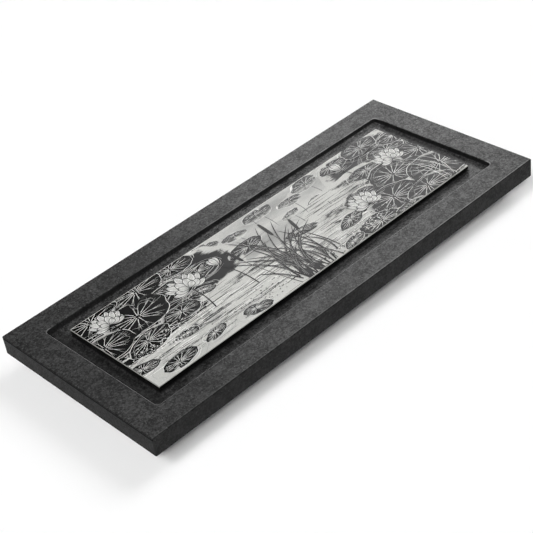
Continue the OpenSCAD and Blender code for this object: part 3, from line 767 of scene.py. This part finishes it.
# Dark water: solid in the middle, broken into streaks by the dry brush towards its edge
def darkWater(x, y, reachX, reachY, tone, cover, seed, solid):
    shares = (0, solid / 2, solid, (1 + solid) / 2, wash["lastStreaks"], 1)
    covers = [cover * min(1, (1 - s) / (1 - solid) * wash["dryCover"] + wash["leastCover"])
              if s > solid else cover for s in shares]
    nextLayer()
    addFill(pool(x, y, reachX, reachY, shares, seed), [[tone] * wash["points"]] * len(shares),
            [[share] * wash["points"] for share in covers])


# A soft grey wash that fades into the ground
def softWash(x, y, reachX, reachY, tone, seed):
    blank = board["tones"][-2][0]
    nextLayer()
    addFill(pool(x, y, reachX, reachY, wash["softLevels"], seed),
            [[blank - (blank - tone) * (1 - s ** 2) ** 2] * wash["points"] for s in wash["softLevels"]])


def duckweed(x, y, spreadX, spreadY, count, tone, size):
    nextLayer()
    for _ in range(count):
        px, py, d = rng.gauss(x, spreadX), rng.gauss(y, spreadY), rng.uniform(0.5, 1.0) * size
        angles = [math.tau * k / 8 for k in range(8)]
        ring = [(px + d * math.cos(a), py + 0.55 * d * math.sin(a)) for a in angles]
        addFill([[(px, py)] * 8, ring], [[tone] * 8] * 2)


def paintDistance():
    for i, spot in enumerate(pond["mist"]):
        softWash(*spot, pond["mistDepth"], pond["mistTone"], 20 + i)
    for i, (x, y, size, squash) in enumerate(pond["mistLeaves"]):
        nextLayer()
        addStroke(curve((x + 2, y - 4), (x + rng.uniform(-5, 5), y - rng.uniform(26, 46)), 0.05), 1.1, 0.45)
        lotusLeaf(x, y, size, squash, 100 + i, veins=11, tone=0.24, mist=0.6)


def paintWater():
    for i, (*spot, solid) in enumerate(pond["pools"]):
        darkWater(*spot, tone=0.0, cover=1.0, seed=30 + i, solid=solid)
    for *spot, cover in pond["shallows"]:
        darkWater(*spot, tone=0.14, cover=cover, seed=40 + spot[0], solid=0.2)
    for patch in pond["ripples"]:
        ripples(*patch)
    for patch in pond["duckweed"]:
        duckweed(*patch)


# Rings on the water first, then the leaves, and the flowers and the bud over them
def paintGroup(leaves, flowers, bud, ringSeed, leafSeed):
    for i, spot in enumerate(leaves):
        waterRings(*spot, ringSeed + i)
    for i, spot in enumerate(leaves):
        lotusLeaf(*spot, leafSeed + i)
    for spot in flowers:
        lotusFlower(*spot)
    lotusBud(*bud)


def paintNearGroup():
    paintGroup(pond["nearLeaves"], pond["nearFlowers"], pond["nearBud"], ringSeed=600, leafSeed=300)
    duckweed(*pond["nearDuckweed"])


def paintReeds():
    for x, y, size, squash in pond["reedLeaves"]:
        nextLayer()
        addStroke(curve((x, y - 4), (x + 6, y - 70), 0.05), 1.8, 0.0)
        lotusLeaf(x, y, size, squash, seed=size, veins=13)
    reedBed(**pond["reeds"])
    for x, length, lean in pond["cattails"]:
        cattail(x, pond["cattailFoot"], length, lean)


def paintFarGroup():
    paintGroup(pond["farLeaves"], pond["farFlowers"], pond["farBud"], ringSeed=700, leafSeed=400)
    reedBed(**pond["farReeds"])
    duckweed(*pond["farDuckweed"])


paintDistance()
paintWater()
paintNearGroup()
paintReeds()
paintFarGroup()
print("picture:", len(fills["faces"]), "wash faces,", len(strokes["edges"]), "stroke steps,",
      round((layer["z"] - faceZ) / micron), "microns of layers")


def addObject(name, data):
    obj = bpy.data.objects.new(name, data)
    bpy.context.scene.collection.objects.link(obj)
    return obj


# Cuts off what runs over the edge of the face, and turns every face up
def trimToFace(mesh):
    bm = bmesh.new()
    bm.from_mesh(mesh)
    for point, normal in (((halfL, 0, 0), (1, 0, 0)), ((-halfL, 0, 0), (-1, 0, 0)),
                          ((0, halfW, 0), (0, 1, 0)), ((0, -halfW, 0), (0, -1, 0))):
        bmesh.ops.bisect_plane(bm, geom=bm.verts[:] + bm.edges[:] + bm.faces[:], plane_co=point,
                               plane_no=normal, clear_outer=True)
    bm.normal_update()
    for face in bm.faces:
        if face.normal.z < 0:
            face.normal_flip()
    bm.to_mesh(mesh)
    bm.free()


def addAttribute(mesh, name, values):
    mesh.attributes.new(name, "FLOAT", "POINT").data.foreach_set("value", values)


# Sweeps a flat ribbon along every polyline, as wide as its half attribute says
def ribbonTree():
    tree = bpy.data.node_groups.new("brush ribbons", "GeometryNodeTree")
    tree.interface.new_socket("Geometry", in_out="INPUT", socket_type="NodeSocketGeometry")
    tree.interface.new_socket("Material", in_out="INPUT", socket_type="NodeSocketMaterial")
    tree.interface.new_socket("Geometry", in_out="OUTPUT", socket_type="NodeSocketGeometry")
    add = partial(addNode, tree)
    source = add("NodeGroupInput")
    half = add("GeometryNodeInputNamedAttribute", {"data_type": "FLOAT"}, {"Name": "half"})
    curves = add("GeometryNodeMeshToCurve", None, {"Mesh": source})
    upright = add("GeometryNodeSetCurveNormal", {"mode": "Z_UP"}, {"Curve": curves})
    sized = add("GeometryNodeSetCurveRadius", None, {"Curve": upright, "Radius": half})
    profile = add("GeometryNodeCurvePrimitiveLine", None, {"Start": (-1, 0, 0), "End": (1, 0, 0)})
    swept = add("GeometryNodeCurveToMesh", None, {"Curve": sized, "Profile Curve": profile, "Scale": half})
    real = add("GeometryNodeRealizeInstances", None, {"Geometry": swept})
    inked = add("GeometryNodeSetMaterial", None, {"Geometry": real, "Material": source.outputs["Material"]})
    add("NodeGroupOutput", None, {"Geometry": inked})
    return tree


def makeFills():
    mesh = bpy.data.meshes.new("picture_washes")
    mesh.from_pydata(fills["points"], [], fills["faces"])
    addAttribute(mesh, "tone", fills["tone"])
    addAttribute(mesh, "cover", fills["cover"])
    trimToFace(mesh)
    mesh.materials.append(pictureMaterial)
    return addObject("picture_washes", mesh)


def makeStrokes():
    mesh = bpy.data.meshes.new("stroke_lines")
    mesh.from_pydata(strokes["points"], strokes["edges"], [])
    addAttribute(mesh, "half", strokes["half"])
    addAttribute(mesh, "tone", strokes["tone"])
    guide = addObject("stroke_lines", mesh)
    tree = ribbonTree()
    modifier = guide.modifiers.new("ribbons", "NODES")
    modifier.node_group = tree
    sockets = {item.name: item.identifier for item in tree.interface.items_tree if item.in_out == "INPUT"}
    modifier[sockets["Material"]] = pictureMaterial
    made = bpy.data.meshes.new_from_object(guide.evaluated_get(bpy.context.evaluated_depsgraph_get()))
    bpy.data.objects.remove(guide)
    trimToFace(made)
    addAttribute(made, "cover", [1.0] * len(made.vertices))
    made.name = "picture_strokes"
    return addObject("picture_strokes", made)


for piece in (makeFills(), makeStrokes()):
    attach(piece, "board")
    heights = [(v.co.z - faceZ) / micron for v in piece.data.vertices]
    print(piece.name, len(piece.data.polygons), "faces,", round(min(heights)), "to", round(max(heights)),
          "microns above the board")

# Table of smooth white paper: even and dull, it keeps the tray's shadow, and a faint glow brings it up to
# the photo's white
table = {"colour": "#f7f7f7", "glow": 0.07, "reach": 6}


def makeTable():
    material, add = newMaterial("smooth white paper")
    diffuse = add("ShaderNodeBsdfDiffuse", None, {"Color": srgb(table["colour"])})
    glow = add("ShaderNodeEmission", None, {"Color": srgb("#ffffff"), "Strength": table["glow"]})
    add("ShaderNodeOutputMaterial", None, {"Surface": add("ShaderNodeAddShader", None, (diffuse, glow))})
    reach = table["reach"]
    mesh = bpy.data.meshes.new("table")
    mesh.from_pydata([(-reach, -reach, 0), (reach, -reach, 0), (reach, reach, 0), (-reach, reach, 0)], [],
                     [(0, 1, 2, 3)])
    mesh.materials.append(material)
    addObject("table", mesh)


# Turns an object's -Z axis along a direction
def aim(obj, place, direction, roll=0.0):
    obj.matrix_world = (Matrix.Translation(place) @ direction.to_track_quat("-Z", "Y").to_matrix().to_4x4()
                        @ Matrix.Rotation(math.radians(roll), 4, "Z"))


# Camera from the fit of the slab's, moat's and board's corners
view = {"place": (-0.79329, -0.93537, 0.92917), "aim": (-0.03981, -0.01905, 0.049), "roll": -8.6044,
        "lens": 90.05, "sensor": 36, "clip": (0.05, 50)}


def makeCamera():
    data = bpy.data.cameras.new("camera")
    data.lens, data.sensor_width = view["lens"], view["sensor"]
    data.clip_start, data.clip_end = view["clip"]
    camera = addObject("camera", data)
    aim(camera, view["place"], Vector(view["aim"]) - Vector(view["place"]), view["roll"])
    bpy.context.scene.camera = camera


# Three keys fanned from the drain end round to the front, a soft lamp from the far end that throws the
# pale shadow, and a panel low behind the far end, seen in reflections alone, whose sheen lies on the stone.
# Directions are degrees round from +X and up from the table.
suns = [
    {"name": "key", "round": 230, "up": 46, "spread": 11, "strength": 1.30},
    {"name": "keySoft", "round": 200, "up": 48, "spread": 30, "strength": 0.92},
    {"name": "near", "round": 182, "up": 53, "spread": 16, "strength": 0.83},
    {"name": "far", "round": 356, "up": 46, "spread": 31, "strength": 0.90},
]
sheen = {"place": (0.92, 0.75, 0.80), "aim": (0.30, 0.0, 0.045), "size": (0.8, 0.8), "power": 32}


def makeLamps():
    for sun in suns:
        data = bpy.data.lights.new(sun["name"], "SUN")
        data.energy, data.angle = sun["strength"], math.radians(sun["spread"])
        a, up = math.radians(sun["round"]), math.radians(sun["up"])
        towards = Vector((math.cos(a) * math.cos(up), math.sin(a) * math.cos(up), math.sin(up)))
        aim(addObject(sun["name"], data), (0, 0, 0), -towards)
    data = bpy.data.lights.new("sheen", "AREA")
    data.shape, (data.size, data.size_y), data.energy = "RECTANGLE", sheen["size"], sheen["power"]
    panel = addObject("sheen", data)
    aim(panel, sheen["place"], Vector(sheen["aim"]) - Vector(sheen["place"]))
    panel.visible_camera = panel.visible_diffuse = False


# A room that is white to the camera and in reflections, and throws only a little light
room = {"seen": "#ffffff", "thrown": "#505050"}


def makeWorld():
    world = bpy.data.worlds.new("white room")
    world.use_nodes = True
    world.node_tree.nodes.clear()
    add = partial(addNode, world.node_tree)
    path = add("ShaderNodeLightPath").outputs
    bounced = add("ShaderNodeMath", larger, (path["Is Glossy Ray"], path["Is Transmission Ray"]))
    seen = add("ShaderNodeMath", larger, (path["Is Camera Ray"], bounced))
    thrown, white = (add("ShaderNodeBackground", None, {"Color": srgb(room[name]), "Strength": 1.0})
                     for name in ("thrown", "seen"))
    add("ShaderNodeOutputWorld", None, {"Surface": add("ShaderNodeMixShader", None, (seen, thrown, white))})
    bpy.context.scene.world = world


makeTable()
print("table set, its surface at z = 0")
makeCamera()
print("camera set,", view["lens"], "mm lens")
makeLamps()
print("lamps set,", len(suns), "suns and a panel")
makeWorld()
bpy.context.scene.view_settings.view_transform = "Standard"
print("world set")
